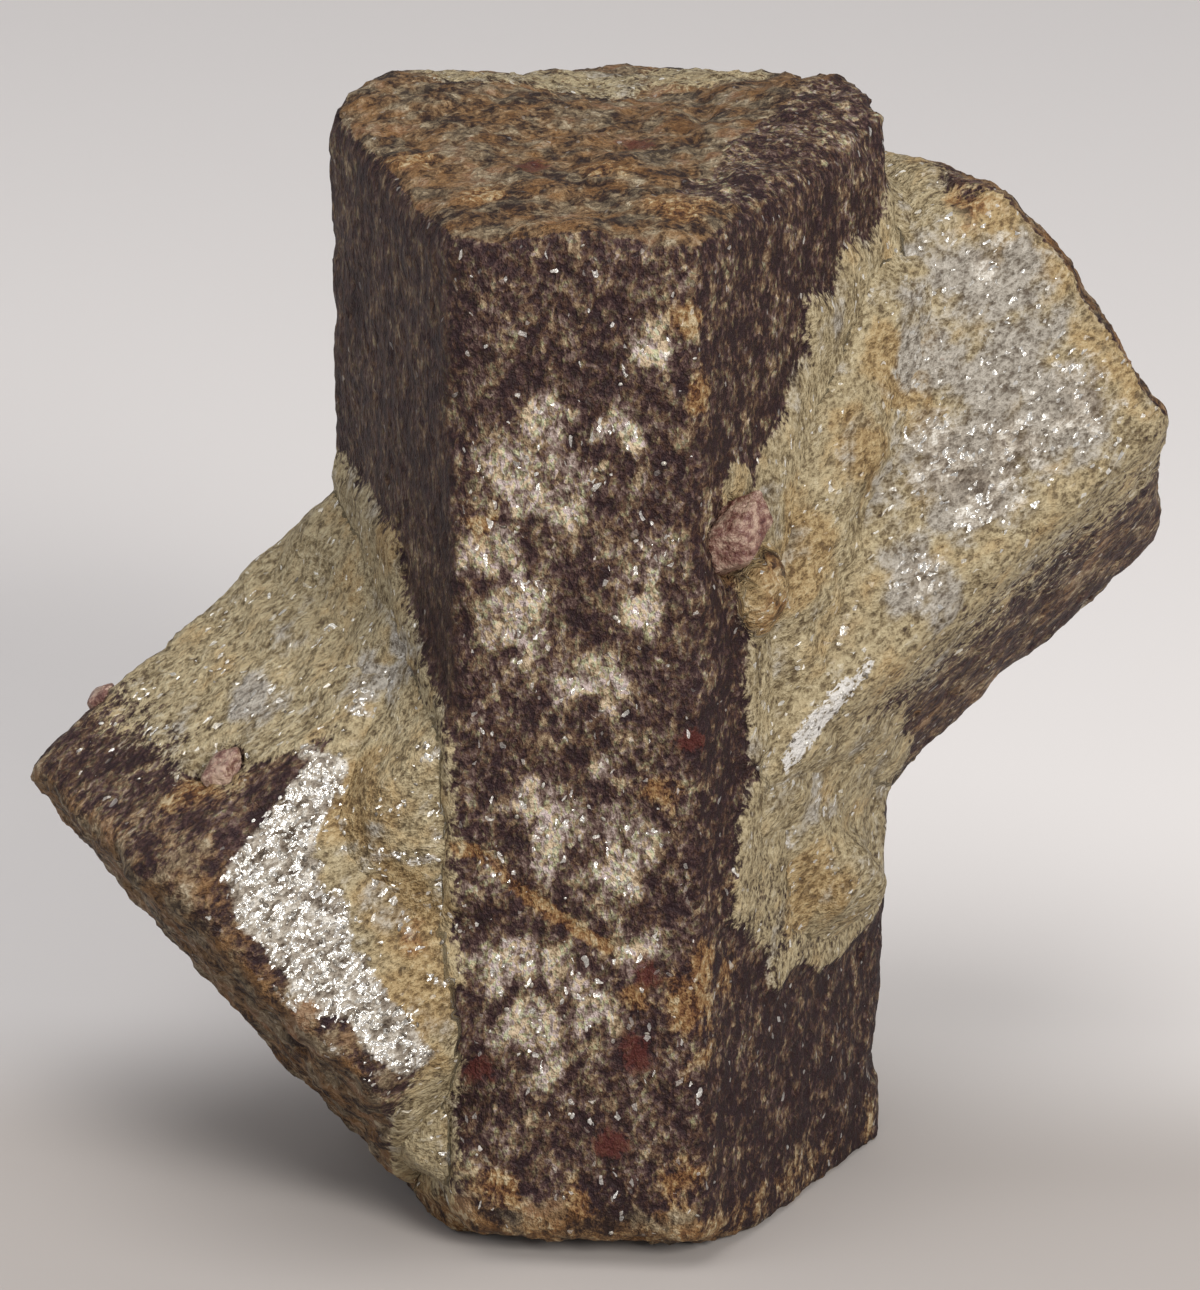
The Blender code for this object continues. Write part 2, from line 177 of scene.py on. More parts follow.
def even_out(made, voxel, rounds):
    """Rebuilds a closed mesh from small even faces and smooths it."""
    remesh = made.modifiers.new("even out", "REMESH")
    remesh.mode = "VOXEL"
    remesh.voxel_size = voxel
    remesh.use_smooth_shade = True
    smooth = made.modifiers.new("smooth", "SMOOTH")
    smooth.factor = 0.5
    smooth.iterations = rounds
    settle(made)


def round_off(made, corners, rounds):
    """Smooths a mesh near these places alone."""
    share = ease(near(points_of(made.data) - MIDDLE, corners), 0.0, 0.5)
    worn = made.vertex_groups.new(name="worn")
    for i in np.flatnonzero(share > 0):
        worn.add([int(i)], float(share[i]), "REPLACE")
    smooth = made.modifiers.new("smooth", "SMOOTH")
    smooth.iterations = rounds
    smooth.vertex_group = worn.name
    settle(made)
    made.vertex_groups.clear()


def surface_of(made):
    """The surface of a mesh, to find the nearest point on."""
    made.data.calc_loop_triangles()
    triangles = [tuple(triangle.vertices) for triangle in made.data.loop_triangles]
    return BVHTree.FromPolygons([vertex.co for vertex in made.data.vertices], triangles)


def lumps(points, size, octaves):
    """Smooth seeded noise of about -1 to 1 at each point, with lumps of this size."""
    scaled = map(Vector, points / size)
    return np.array([noise.fractal(point, NOISE_FALLOFF, NOISE_STEP, octaves) for point in scaled])


def ease(values, low, high):
    """0 below low, 1 above high, and a smooth rise between."""
    share = np.clip((values - low) / (high - low), 0, 1)
    return share * share * (3 - 2 * share)


def near(points, places):
    """1 at each place, falling to 0 at its reach. Places are x, y, z, reach in millimetres."""
    found = np.zeros(len(points))
    for x, y, z, reach in places:
        away = np.linalg.norm(points - np.array((x, y, z)) * MM, axis=1)
        found = np.maximum(found, 1 - away / (reach * MM))
    return found


def near_line(points, line):
    """1 on a line through these places, falling to 0 at its reach, which may change along it."""
    found = np.zeros(len(points))
    for first, last in zip(np.array(line) * MM, np.array(line[1:]) * MM):
        way = last[:3] - first[:3]
        share = np.clip((points - first[:3]) @ way / (way @ way), 0, 1)
        away = np.linalg.norm(points - first[:3] - share[:, None] * way, axis=1)
        found = np.maximum(found, 1 - away / (first[3] + share * (last[3] - first[3])))
    return found


# ---- where each mineral shows ----

SCHIST_NODES = ("matrix_left", "matrix_left_low", "matrix_right", "matrix_right_low",
                "matrix_back_left", "matrix_back_right")

# Cream mica patches on the upright crystal's front: x, y, z and reach.
CREAM_PATCHES = (
    (-2.4, -14.5, 11.9, 2.3), (-0.6, -14.5, 11.3, 2.3), (-3.4, -14.5, 8.4, 2.0),
    (-2.4, -14.5, 6.3, 1.7), (-2.6, -14.5, 4.9, 1.5), (0.7, -14.5, 3.3, 1.7),
    (-0.7, -14.5, 3.0, 1.4), (0.7, -14.5, -0.6, 1.2), (-2.2, -14.5, -2.4, 1.9),
    (-0.8, -14.5, -3.6, 2.1), (1.9, -14.5, -3.4, 1.9), (1.5, -14.5, -5.6, 1.5),
    (-3.6, -14.5, -5.6, 1.3), (-2.9, -14.5, -9.3, 1.9), (-0.6, -14.5, -9.6, 1.7),
    (0.6, -14.5, -11.4, 1.7), (-2.0, -14.5, -11.9, 1.9), (2.6, -14.5, -8.6, 1.4),
    (3.0, -14.5, 17.2, 1.2), (-0.9, -14.5, 14.2, 1.6), (1.8, -14.5, 13.8, 1.2),
    (3.3, -14.5, 8.6, 1.5), (2.6, -14.5, 6.0, 1.5), (-1.0, -14.5, -14.0, 1.5))
# The rusty crack across it, the rust stains, the ochre parts of the schist, and the spots where
# deep red crystal shows through.
CRACK = ((-5.2, -14.4, -4.2, 0.5), (-3.9, -14.5, -4.7, 0.45), (-2.6, -14.5, -6.0, 0.45),
         (-1.2, -14.5, -7.0, 0.4), (0.2, -14.5, -8.0, 0.4), (1.2, -14.5, -8.6, 0.3))
RUST = (
    (4.6, -14.3, -9.6, 1.5), (4.4, -14.4, -11.2, 1.7), (4.9, -14.2, -13.4, 1.3),
    (6.2, -12.6, -10.6, 1.4), (4.4, -14.4, 18.2, 1.4), (4.9, -14.3, 15.4, 1.2),
    (3.4, -14.5, -1.6, 1.2), (2.4, -14.5, -10.6, 1.2), (-4.3, -14.4, 9.8, 0.9),
    (3.8, -14.5, -19.0, 1.6), (0.4, -14.5, -20.2, 1.4), (-3.6, -14.4, -19.6, 1.6),
    (7.2, -10.9, 5.6, 2.2), (15.1, 2.1, 18.7, 1.5), (-15.9, -11.9, -2.9, 2.0),
    (4.0, -11.6, 22.1, 1.9), (-4.2, -10.0, 22.1, 1.7), (0.5, -7.5, 22.6, 1.5),
    (-7.6, -6.0, 22.6, 1.5), (-8.2, -12.6, -4.6, 1.8), (-7.4, -14.0, -8.4, 1.6))
OCHRE = (
    (7.2, -10.9, 5.8, 3.0), (-8.6, -12.4, -3.4, 3.4), (-7.4, -13.6, -7.6, 3.0),
    (-6.6, -14.8, -11.2, 2.4), (9.2, -8.2, -8.6, 2.6), (12.4, -2.6, 13.0, 2.6),
    (10.6, -5.4, 10.2, 2.4), (8.6, -8.6, 7.0, 2.6), (-9.0, -8.6, 7.4, 3.0))
DEEP_RED = (
    (2.6, -14.5, -9.6, 1.2), (2.2, -14.5, -13.2, 1.4), (-4.4, -14.4, -14.2, 1.3),
    (1.2, -14.5, -17.4, 1.2), (4.6, -14.4, 0.6, 1.0), (-2.5, -6.5, 22.7, 1.4),
    (1.5, -3.5, 22.8, 1.3))
# Silvery mica on the arms, bluish grey that is partly a painted sheen, and a painted highlight on the
# glossy ridge under the right arm's front.
CRESCENT = ((-11.4, -12.4, -2.2, 1.7), (-13.9, -13.9, -4.3, 2.6), (-12.4, -14.6, -6.8, 2.4),
            (-10.8, -15.2, -8.9, 2.0), (-9.1, -15.8, -10.8, 1.4), (-6.6, -16.0, -13.5, 0.9))
SILVER_PATCHES = (
    (14.2, -3.4, 9.1, 3.0), (15.6, -2.9, 7.6, 2.8), (17.0, -2.2, 9.6, 2.4), (19.9, -0.3, 11.0, 2.4),
    (13.2, -4.8, 4.4, 2.2), (10.2, -8.4, 3.4, 1.8), (16.4, 0.6, 17.0, 1.6))
GREY_AND_SHEEN_PATCHES = (
    (15.3, -0.3, 16.0, 4.4), (17.2, 0.6, 16.2, 2.8), (13.4, -1.6, 13.2, 2.4),
    (-8.2, -9.9, 3.0, 2.2), (17.4, -1.4, 12.0, 4.6), (15.0, -3.0, 8.6, 4.8), (18.8, -0.8, 9.6, 3.6),
    (13.0, -5.0, 4.6, 3.0), (-9.2, -9.6, 1.2, 1.8), (-14.5, -8.0, -0.5, 2.0),
    (-12.4, -8.6, 2.4, 1.6), (-20.9, -8.6, -3.1, 1.6), (9.6, -7.6, -4.4, 2.0),
    (11.2, -6.2, -2.6, 1.6))
HIGHLIGHT_RIDGE = ((8.1, -10.3, -1.9, 0.5), (9.0, -9.8, -0.9, 0.85),
          (10.3, -8.9, 0.5, 0.8), (11.6, -7.8, 1.7, 0.4))
# The orange knob under the front garnet and how it stands out, with the schist round it.
KNOB = ((7.2, -10.9, 5.8, 2.0),)
KNOB_RISE = np.array((0.8, -0.9, 0.3)) * MM
SCHIST_PATCHES = KNOB + ((7.0, -10.2, 8.6, 1.9), (6.3, -11.8, 10.6, 1.4), (7.7, -8.9, 10.2, 2.4))
# On the top: the dark right edge, and the schist across its rear.
DARK_EDGE = ((5.2, -9.4, 22.2, 1.7), (7.8, -4.0, 22.6, 3.4), (10.4, 0.2, 23.0, 4.2))
REAR_BAND = ((-6.5, 5.5, 22.6, 4.0), (-1.5, 7.0, 22.6, 3.6), (3.5, 8.5, 22.4, 4.0))

# A point this far outside the upright crystal's sides starts to be, and is, on an arm.
OUTSIDE_UPRIGHT = (0.2 * MM, 0.5 * MM)

# How much of their length the grain's coordinates lose, which draws the grains out.
FIBRE_STRETCH = 0.32

# The lumps that make the patches' edges ragged, and how far they shift them, in millimetres.
CLOUD_LUMPS = 2.6 * MM
FLECK_LUMPS = 1.1 * MM
RAGGED_ACROSS = 0.8
RAGGED_UP = 0.9

# The left arm's dark edge: how much narrower it is on the front face than on the upper one, its
# width at two places along the arm, how far it wanders, and how softly it ends.
RIDGE_NARROWER = 2.4
RIDGE_PLACES = (12.8 * MM, 20.5 * MM)
RIDGE_WIDTHS = (-0.3 * MM, 2.4 * MM)
RIDGE_WANDER = 0.3 * MM
RIDGE_END = (-0.3 * MM, 0.5 * MM)

# How far the schist reaches out of the corners, in millimetres: over the arms, over the upright
# crystal, and how much further over that above these heights.
ARM_CORNER_REACH = 2.6
UPRIGHT_CORNER_REACH = 1.0
HIGH_CORNER_REACH = 0.9
HIGH_CORNERS = (2 * MM, 8 * MM)

# Where along the left arm the schist on its upper and front faces ends, and how far behind its
# front face the schist under the right arm thins out.
UPPER_SCHIST_END = (14.5 * MM, 22.0 * MM)
FRONT_SCHIST_END = (18.5 * MM, 20.0 * MM)
LOWER_SCHIST_THIN = (0.0, 7.0 * MM)

# How thickly the schist covers the right arm's lower side and how much of that it loses, and how
# thickly it covers the arms' backs and the rear of the top.
LOWER_SCHIST = 0.85
LOWER_SCHIST_LOSS = 0.65
BACK_SCHIST = 0.5
REAR_SCHIST = 0.7

# Where each of these starts and where it is full: rims and edge along the arms, foot below the
# middle.
BROWN_RIM = (21.2 * MM, 23.2 * MM)
BROWN_EDGE = (18.6 * MM, 20.6 * MM)
OCHRE_RIM = (19.8 * MM, 21.6 * MM)
OCHRE_RIM_WANDER = 0.6 * MM
BROWN_FOOT = (19.0 * MM, 21.5 * MM)
RUSTY_FOOT = (20.0 * MM, 21.8 * MM)
OCHRE_FOOT = (20.4 * MM, 22.0 * MM)

# How far the rusty crack wanders.
CRACK_WANDER = 0.12 * MM

# How far the dark crystal's grains lean to the pale side: everywhere, and how much more on the
# front, in its cream patches, on the arms, on their ends, and on the right side, low and high.
LEAN = -0.07
FRONT_LEAN = 0.03
CREAM_LEAN = 0.20
ARM_LEAN = 0.02
END_LEAN = 0.05
RIGHT_LEAN = -0.045
RIGHT_LEAN_RISE = 0.035
RIGHT_LEAN_RISES = (0, 12 * MM)


class Places:
    """What the surface is at each of these points: which crystal, which way, what covers it."""

    def __init__(self, points, normals, schist):
        self.points = points - MIDDLE
        self.normals = normals
        outside = [self.points @ face_normal(*indices) - reach for indices, reach in UPRIGHT_SIDES]
        self.on_arm = ease(np.max(outside, axis=0), *OUTSIDE_UPRIGHT)
        along = self.points @ ARM_AXIS
        self.left = self.on_arm * (along < 0)
        self.right = self.on_arm * (along > 0)
        self.out = np.abs(along)
        self.upright = 1 - self.on_arm
        self.front = self.upright * self.facing(FRONT_FACE)
        self.right_side = self.upright * self.facing(RIGHT_FACE)
        self.facing_end = np.abs(np.where(self.on_arm > 0.5, normals @ ARM_AXIS, normals[:, 2]))
        self.end = ease(self.facing_end, 0.5, 0.85)
        self.clouds = lumps(self.points, CLOUD_LUMPS, 3)
        self.flecks = lumps(self.points, FLECK_LUMPS, 3)
        shift = np.zeros_like(self.points)
        shift[:, 0] = RAGGED_ACROSS * self.clouds
        shift[:, 2] = RAGGED_UP * self.flecks
        self.ragged = self.points + MM * shift
        self.to_schist = np.array([schist.find_nearest(point)[3] for point in map(Vector, points)])

    def facing(self, direction, low=0.75, high=0.92):
        """How nearly the surface looks this way, 0 to 1."""
        return ease(self.normals @ np.array(direction), low, high)

    def foot(self, start, full):
        """The specimen's foot, which starts and is full this far below the middle, 0 to 1."""
        return ease(-self.points[:, 2], start, full)

    def grain(self):
        """Coordinates that are drawn together along the crystals' fibres."""
        axis = np.where(self.on_arm[:, None] > 0.5, ARM_AXIS, (0.0, 0.0, 1.0))
        along = np.sum(self.points * axis, axis=1)
        return self.points - (FIBRE_STRETCH * along)[:, None] * axis

    def ridge(self):
        """The left arm's dark upper front edge, which widens towards its tip."""
        below = RIDGE_NARROWER * (self.points @ ARM_UPPER - LEFT_ARM_UPPER)
        away = np.hypot(below, self.points @ ARM_FRONT - LEFT_ARM_FRONT)
        width = np.interp(self.out, RIDGE_PLACES, RIDGE_WIDTHS)
        return self.left * (1 - ease(away - width + RIDGE_WANDER * self.flecks, *RIDGE_END))

    def cover(self):
        """How much schist covers the surface, 0 to 1."""
        above = UPRIGHT_CORNER_REACH + HIGH_CORNER_REACH * ease(self.points[:, 2], *HIGH_CORNERS)
        reach = MM * np.where(self.on_arm > 0.5, ARM_CORNER_REACH, above)
        corner = 1 - ease(self.to_schist, 0.1 * reach, reach)
        corner = np.maximum(corner, ease(near(self.points, SCHIST_PATCHES), 0.1, 0.4))
        upper = self.left * self.facing(ARM_UPPER) * (1 - ease(self.out, *UPPER_SCHIST_END))
        front = self.left * self.facing(ARM_FRONT, 0.6, 0.85) * (1 - ease(self.out, *FRONT_SCHIST_END))
        wide = self.right * self.facing(ARM_FRONT)
        fading = self.right * self.facing(ARM_LOWER, 0.5, 0.8)
        thin = ease(RIGHT_ARM_FRONT - self.points @ ARM_FRONT, *LOWER_SCHIST_THIN)
        fading *= LOWER_SCHIST - LOWER_SCHIST_LOSS * thin
        back = self.on_arm * ease(self.normals[:, 1], 0.2, 0.6) * BACK_SCHIST
        rear = REAR_SCHIST * ease(near(self.ragged, REAR_BAND), 0, 0.5)
        total = np.maximum.reduce([corner, upper, front, wide, fading, back])
        total = total - 1.5 * self.ridge() - self.on_arm * self.end + rear
        return np.clip(total + 0.2 * self.flecks * (total > 0), 0, 1)

    def crescent(self):
        """The band of glittering mica round the left arm's front."""
        band = ease(near_line(self.points, CRESCENT) + 0.3 * self.flecks, 0.0, 0.35)
        return band * self.left * self.facing(ARM_FRONT, 0.6, 0.8) * (1 - self.ridge())

    def silver(self):
        """How much silvery mica shows, 0 to 1."""
        arm = self.right * self.facing(ARM_FRONT) * ease(near(self.ragged, SILVER_PATCHES), 0.0, 0.9)
        return np.maximum(0.75 * arm, self.crescent())

    def grey(self):
        """How bluish grey the schist is, partly its own colour and partly a painted sheen, 0 to 1."""
        return 0.85 * ease(near(self.ragged, GREY_AND_SHEEN_PATCHES), 0.0, 0.8)

    def brown(self):
        """How brown and weathered the surface is, 0 to 1."""
        rim = self.on_arm * ease(self.out, *BROWN_RIM) * 0.6
        edge = 0.5 * self.left * self.facing(ARM_FRONT, 0.5, 0.8) * ease(self.out, *BROWN_EDGE)
        foot = self.foot(*BROWN_FOOT) * (self.facing(RIGHT_FACE) < 0.5)
        under = self.right * self.facing(ARM_LOWER) * 0.35
        dark = ease(near_line(self.ragged, DARK_EDGE), 0.0, 0.5)
        return np.clip(np.maximum.reduce([self.end, rim, edge, foot, under]) - dark, 0, 1)

    def rust(self):
        """How rusty the surface is, 0 to 1."""
        crack = ease(near_line(self.points + CRACK_WANDER * self.clouds[:, None], CRACK), 0.1, 0.6)
        foot = 0.4 * self.foot(*RUSTY_FOOT) * self.facing(FRONT_FACE, 0.2, 0.5)
        return np.maximum.reduce([crack, near(self.ragged, RUST), foot])

    def ochre(self):
        """How ochre the schist is, 0 to 1."""
        rim = self.right * ease(self.out + OCHRE_RIM_WANDER * self.flecks, *OCHRE_RIM)
        rim *= 1 - self.facing(ARM_LOWER, 0.6, 0.8)
        foot = self.foot(*OCHRE_FOOT) * self.facing(FRONT_FACE, 0.2, 0.5)
        return np.maximum.reduce([ease(near(self.ragged, OCHRE), 0.0, 0.6), 0.6 * rim, 0.7 * foot])

    def gloss_and_painted_highlight(self):
        """How glossy the surface is, and how strongly a pale highlight is painted on it, 0 to 1."""
        ridge = near_line(self.points, HIGHLIGHT_RIDGE)
        return ease(ridge + 0.15 * self.flecks * (ridge > 0), 0.05, 0.5)

    def cream(self):
        """How much cream mica lies on the upright crystal's front, 0 to 1."""
        return ease(near(self.ragged, CREAM_PATCHES), 0.1, 0.6) * self.front

    def pale(self):
        """How far the dark crystal's grains lean to the pale side."""
        right = RIGHT_LEAN_RISE * ease(self.points[:, 2], *RIGHT_LEAN_RISES) + RIGHT_LEAN
        cream = ease(near(self.ragged, CREAM_PATCHES) + 0.3 * self.flecks, 0.08, 0.58)
        lean = LEAN + FRONT_LEAN * self.front + self.right_side * right
        return lean + CREAM_LEAN * cream * self.front + ARM_LEAN * self.on_arm + END_LEAN * self.end

    def spread(self):
        """How much the grains differ from each other."""
        left = self.upright * self.facing(LEFT_FACE)
        band = self.right * self.facing(ARM_LOWER)
        return 0.85 - 0.3 * left - 0.15 * band - 0.1 * self.front - 0.2 * self.on_arm

    def sparkle(self):
        """How much of the surface glints."""
        clear = 0.010 * self.front + 0.005 * self.right_side + 0.05 * self.cream()
        clear = clear + 0.018 * self.cover()
        return clear + 0.14 * self.silver() + 0.30 * self.crescent() + 0.03 * self.grey()

    def flakes(self):
        """How thickly loose flakes lie here, 0 to 1."""
        loose = 0.003 * self.front + 0.03 * self.cream() + 0.05 * self.silver()
        return loose + 0.35 * self.crescent() + 0.3 * self.gloss_and_painted_highlight()

    def keep_on(self, mesh, covered):
        """Stores all of these on a mesh. Its cover is worked out, unless it is given."""
        for name in ("grain", "crescent", "silver", "grey", "brown", "rust", "ochre", "gloss_and_painted_highlight",
                     "pale", "spread", "sparkle", "flakes"):
            store(mesh, name, getattr(self, name)())
        store(mesh, "deep_red", near(self.points, DEEP_RED))
        store(mesh, "cover", self.cover() if covered is None else np.full(len(self.points), covered))


# ---- the pieces ----

# How small the faces of each mesh are, and how many rounds of smoothing it gets.
CRYSTAL_VOXEL = 0.29 * MM
SCHIST_VOXEL = 0.22 * MM
GARNET_VOXEL = 0.09 * MM
CRYSTAL_ROUNDS = 10
SCHIST_ROUNDS = 6
GARNET_ROUNDS = 2

# Corners that have worn rounder than the rest: x, y, z and reach.
WORN_CORNERS = ((22.9, 4.2, 5.0, 4.0), (21.4, 4.6, 2.6, 4.0))
WORN_ROUNDS = 80

# The points within this reach of a garnet are drawn in to it, those within the gap round it
# wholly, and a little past its surface.
SEAT_REACH = 1.0 * MM
SEAT_GAP = 0.34 * MM
SEAT_CLOSING = 0.05 * MM

# How deep the schist's undersides lie in the crystal. A side that looks this much away from the
# crystal is an outer one, and only its thin edges sink in. The others sink in from this far off,
# from further off the more they look at the crystal, and wholly when they are very near.
TUCKED_IN = 0.7 * MM
OUTER_SIDE = (0.35, 0.65)
SINKS_FROM = 0.45 * MM
SINKS_FURTHER = 1.3 * MM
INNER_SIDE = (-0.1, 0.25)
SINKS_WHOLLY = 0.12 * MM

# How deep the schist's thin edges lie in the crystal, and how thick it is where that ends.
FEATHERED = 0.55 * MM
FEATHERED_TO = (0.45 * MM, 1.8 * MM)

# The crystal's relief: the sizes of its lumps, and its heights and depths in millimetres.
FINE_LUMPS = 0.6 * MM
COARSE_LUMPS = 1.9 * MM
FIBRE_LUMPS = 0.8 * MM
PIT_LUMPS = 0.9 * MM
SIDE_RELIEF = 0.06
FIBRE_RELIEF = 0.05
END_FINE_RELIEF = 0.08
END_COARSE_RELIEF = 0.06
SCHIST_STEP = 0.10
PIT_DEPTH = 0.35
CRACK_DEPTH = 0.15

# The same for the schist and the garnets.
SCHIST_COARSE_LUMPS = 1.5 * MM
SCHIST_FINE_LUMPS = 0.5 * MM
SCHIST_COARSE_RELIEF = 0.10
SCHIST_FINE_RELIEF = 0.06
GARNET_LUMPS = 0.7 * MM
GARNET_DENTS = 0.5 * MM
GARNET_RELIEF = 0.06
GARNET_SWELL = 0.02
GARNET_DENT_DEPTH = 0.2

# How far the crystal swells beside the schist, in millimetres, and from where to where it does.
FILLET = 0.4
FILLET_REACH = (0.1 * MM, 1.3 * MM)

# The garnets: the node, how steeply its length rises to the right in degrees, how narrow it is
# across that, and how pale.
GARNETS = (("garnet_front", 50, 0.72, 0.065), ("garnet_left", 52, 0.6, 0.105),
           ("garnet_tip", 40, 0.55, 0.07))


def close_seats(points, garnets):
    """Draws the edges of the garnets' seats in, so that the garnets sit tight."""
    for i, point in enumerate(map(Vector, points)):
        for garnet in garnets:
            place, _, _, away = garnet.find_nearest(point, SEAT_REACH)
            if place:
                pull = 1 - ease(away, SEAT_GAP, SEAT_REACH)
                past = 1 + SEAT_CLOSING / max(away, SEAT_CLOSING)
                points[i] += np.array(place - point) * pull * past


def fit(made, schist, garnets):
    """Closes a mesh round the garnets, raises the knob, and finds what the surface is."""
    points = points_of(made.data)
    close_seats(points, garnets)
    points += ease(near(points - MIDDLE, KNOB), 0.0, 0.7)[:, None] * KNOB_RISE
    set_points(made.data, points)
    return points, Places(points, normals_of(made.data), schist)


def roughen(made, points, height):
    """Moves these points of a mesh out by a height in millimetres."""
    set_points(made.data, points + normals_of(made.data) * height[:, None] * MM)


def make_crystal(schist, garnets):
    crystal = merged_copy("staurolite_twin", "crystal")
    even_out(crystal, CRYSTAL_VOXEL, CRYSTAL_ROUNDS)
    round_off(crystal, WORN_CORNERS, WORN_ROUNDS)
    points, places = fit(crystal, schist, garnets)
    fine = lumps(places.points, FINE_LUMPS, 3)
    coarse = lumps(places.points, COARSE_LUMPS, 3)
    fibres = lumps(places.grain(), FIBRE_LUMPS, 2)
    height = SIDE_RELIEF * fine + SIDE_RELIEF * coarse
    height = height + places.end * (END_FINE_RELIEF * fine + END_COARSE_RELIEF * coarse)
    height += SCHIST_STEP * ease(places.cover(), 0.4, 0.6)
    height += FIBRE_RELIEF * fibres * (places.facing_end < 0.5)
    pits = np.maximum(0, lumps(places.points, PIT_LUMPS, 2) - 0.4)
    height -= PIT_DEPTH * pits + CRACK_DEPTH * ease(near_line(places.points, CRACK), 0.0, 0.7)
    height += FILLET * (1 - ease(places.to_schist, *FILLET_REACH))
    roughen(crystal, points, height)
    places.keep_on(crystal.data, None)
    return crystal


def sink_in(made, crystal):
    """Pushes a filling's sides into the crystal that they face, and lets its thin edges feather out."""
    points = points_of(made.data)
    for i, (point, way) in enumerate(zip(map(Vector, points), map(Vector, normals_of(made.data)))):
        place, normal, _, _ = crystal.find_nearest(point)
        outside = (point - place) @ normal
        lying = ease(way @ normal, *OUTER_SIDE)
        reach = SINKS_FROM + SINKS_FURTHER * ease(-way @ normal, *INNER_SIDE)
        touching = (1 - ease(outside, SINKS_WHOLLY, reach)) * (outside + TUCKED_IN)
        feathered = FEATHERED * (1 - ease(outside, *FEATHERED_TO))
        points[i] -= np.array(normal) * ((1 - lying) * touching + feathered)
    set_points(made.data, points)


def make_schist(node, crystal, schist, garnets):
    made = merged_copy(node, node.replace("matrix", "schist"))
    even_out(made, SCHIST_VOXEL, 0)
    sink_in(made, crystal)
    even_out(made, SCHIST_VOXEL, SCHIST_ROUNDS)
    points, places = fit(made, schist, garnets)
    height = SCHIST_COARSE_RELIEF * lumps(places.points, SCHIST_COARSE_LUMPS, 3)
    height += SCHIST_FINE_RELIEF * lumps(places.points, SCHIST_FINE_LUMPS, 2)
    roughen(made, points, height)
    places.keep_on(made.data, 1.0)
    return made


def make_garnet(node, slope, narrowing):
    """A garnet that is narrower across a line that rises to the right at this slope."""
    made = merged_copy(node, node + "_crystal")
    even_out(made, GARNET_VOXEL, GARNET_ROUNDS)
    points = points_of(made.data)
    across = np.array((-math.sin(slope), 0, math.cos(slope)))
    points -= ((points - points.mean(axis=0)) @ across * (1 - narrowing))[:, None] * across
    set_points(made.data, points)
    dents = np.maximum(0, lumps(points, GARNET_DENTS, 2) - 0.2)
    height = GARNET_SWELL + GARNET_RELIEF * lumps(points, GARNET_LUMPS, 3)
    roughen(made, points, height - GARNET_DENT_DEPTH * dents)
    return made


# ---- mica flakes ----

class Steps:
    """A Geometry Nodes tree under construction, with sizes that its modifier can change."""

    def __init__(self, name, sizes):
        self.tree = bpy.data.node_groups.new(name, "GeometryNodeTree")
        self.tree.interface.new_socket("Geometry", in_out="INPUT", socket_type="NodeSocketGeometry")
        self.tree.interface.new_socket("Geometry", in_out="OUTPUT", socket_type="NodeSocketGeometry")
        self.sizes = {}
        for size, value in sizes.items():
            kind = "NodeSocketInt" if isinstance(value, int) else "NodeSocketFloat"
            made = self.tree.interface.new_socket(size, in_out="INPUT", socket_type=kind)
            made.default_value = value
            self.sizes[size] = made.identifier
        self.start = self.tree.nodes.new("NodeGroupInput")
        self.end = self.tree.nodes.new("NodeGroupOutput")

    def size(self, name):
        return self.start.outputs[name]

    def add(self, kind, settings, sockets):
        node = self.tree.nodes.new(kind)
        for name, value in settings.items():
            setattr(node, name, value)
        for name, value in sockets.items():
            if isinstance(value, bpy.types.NodeSocket):
                self.tree.links.new(value, node.inputs[name])
            else:
                node.inputs[name].default_value = value
        return node


FLAKE_SIZES = {"Flakes per square metre": 1.1e7, "Flake radius": 0.11 * MM,
               "Flake thickness": 0.06 * MM, "Lean": 0.35, "Seed": 7}

# The least and the most that a flake is stretched in each direction.
FLAKE_LEAST = (0.45, 0.35, 0.8)
FLAKE_MOST = (1.3, 1.0, 1.2)


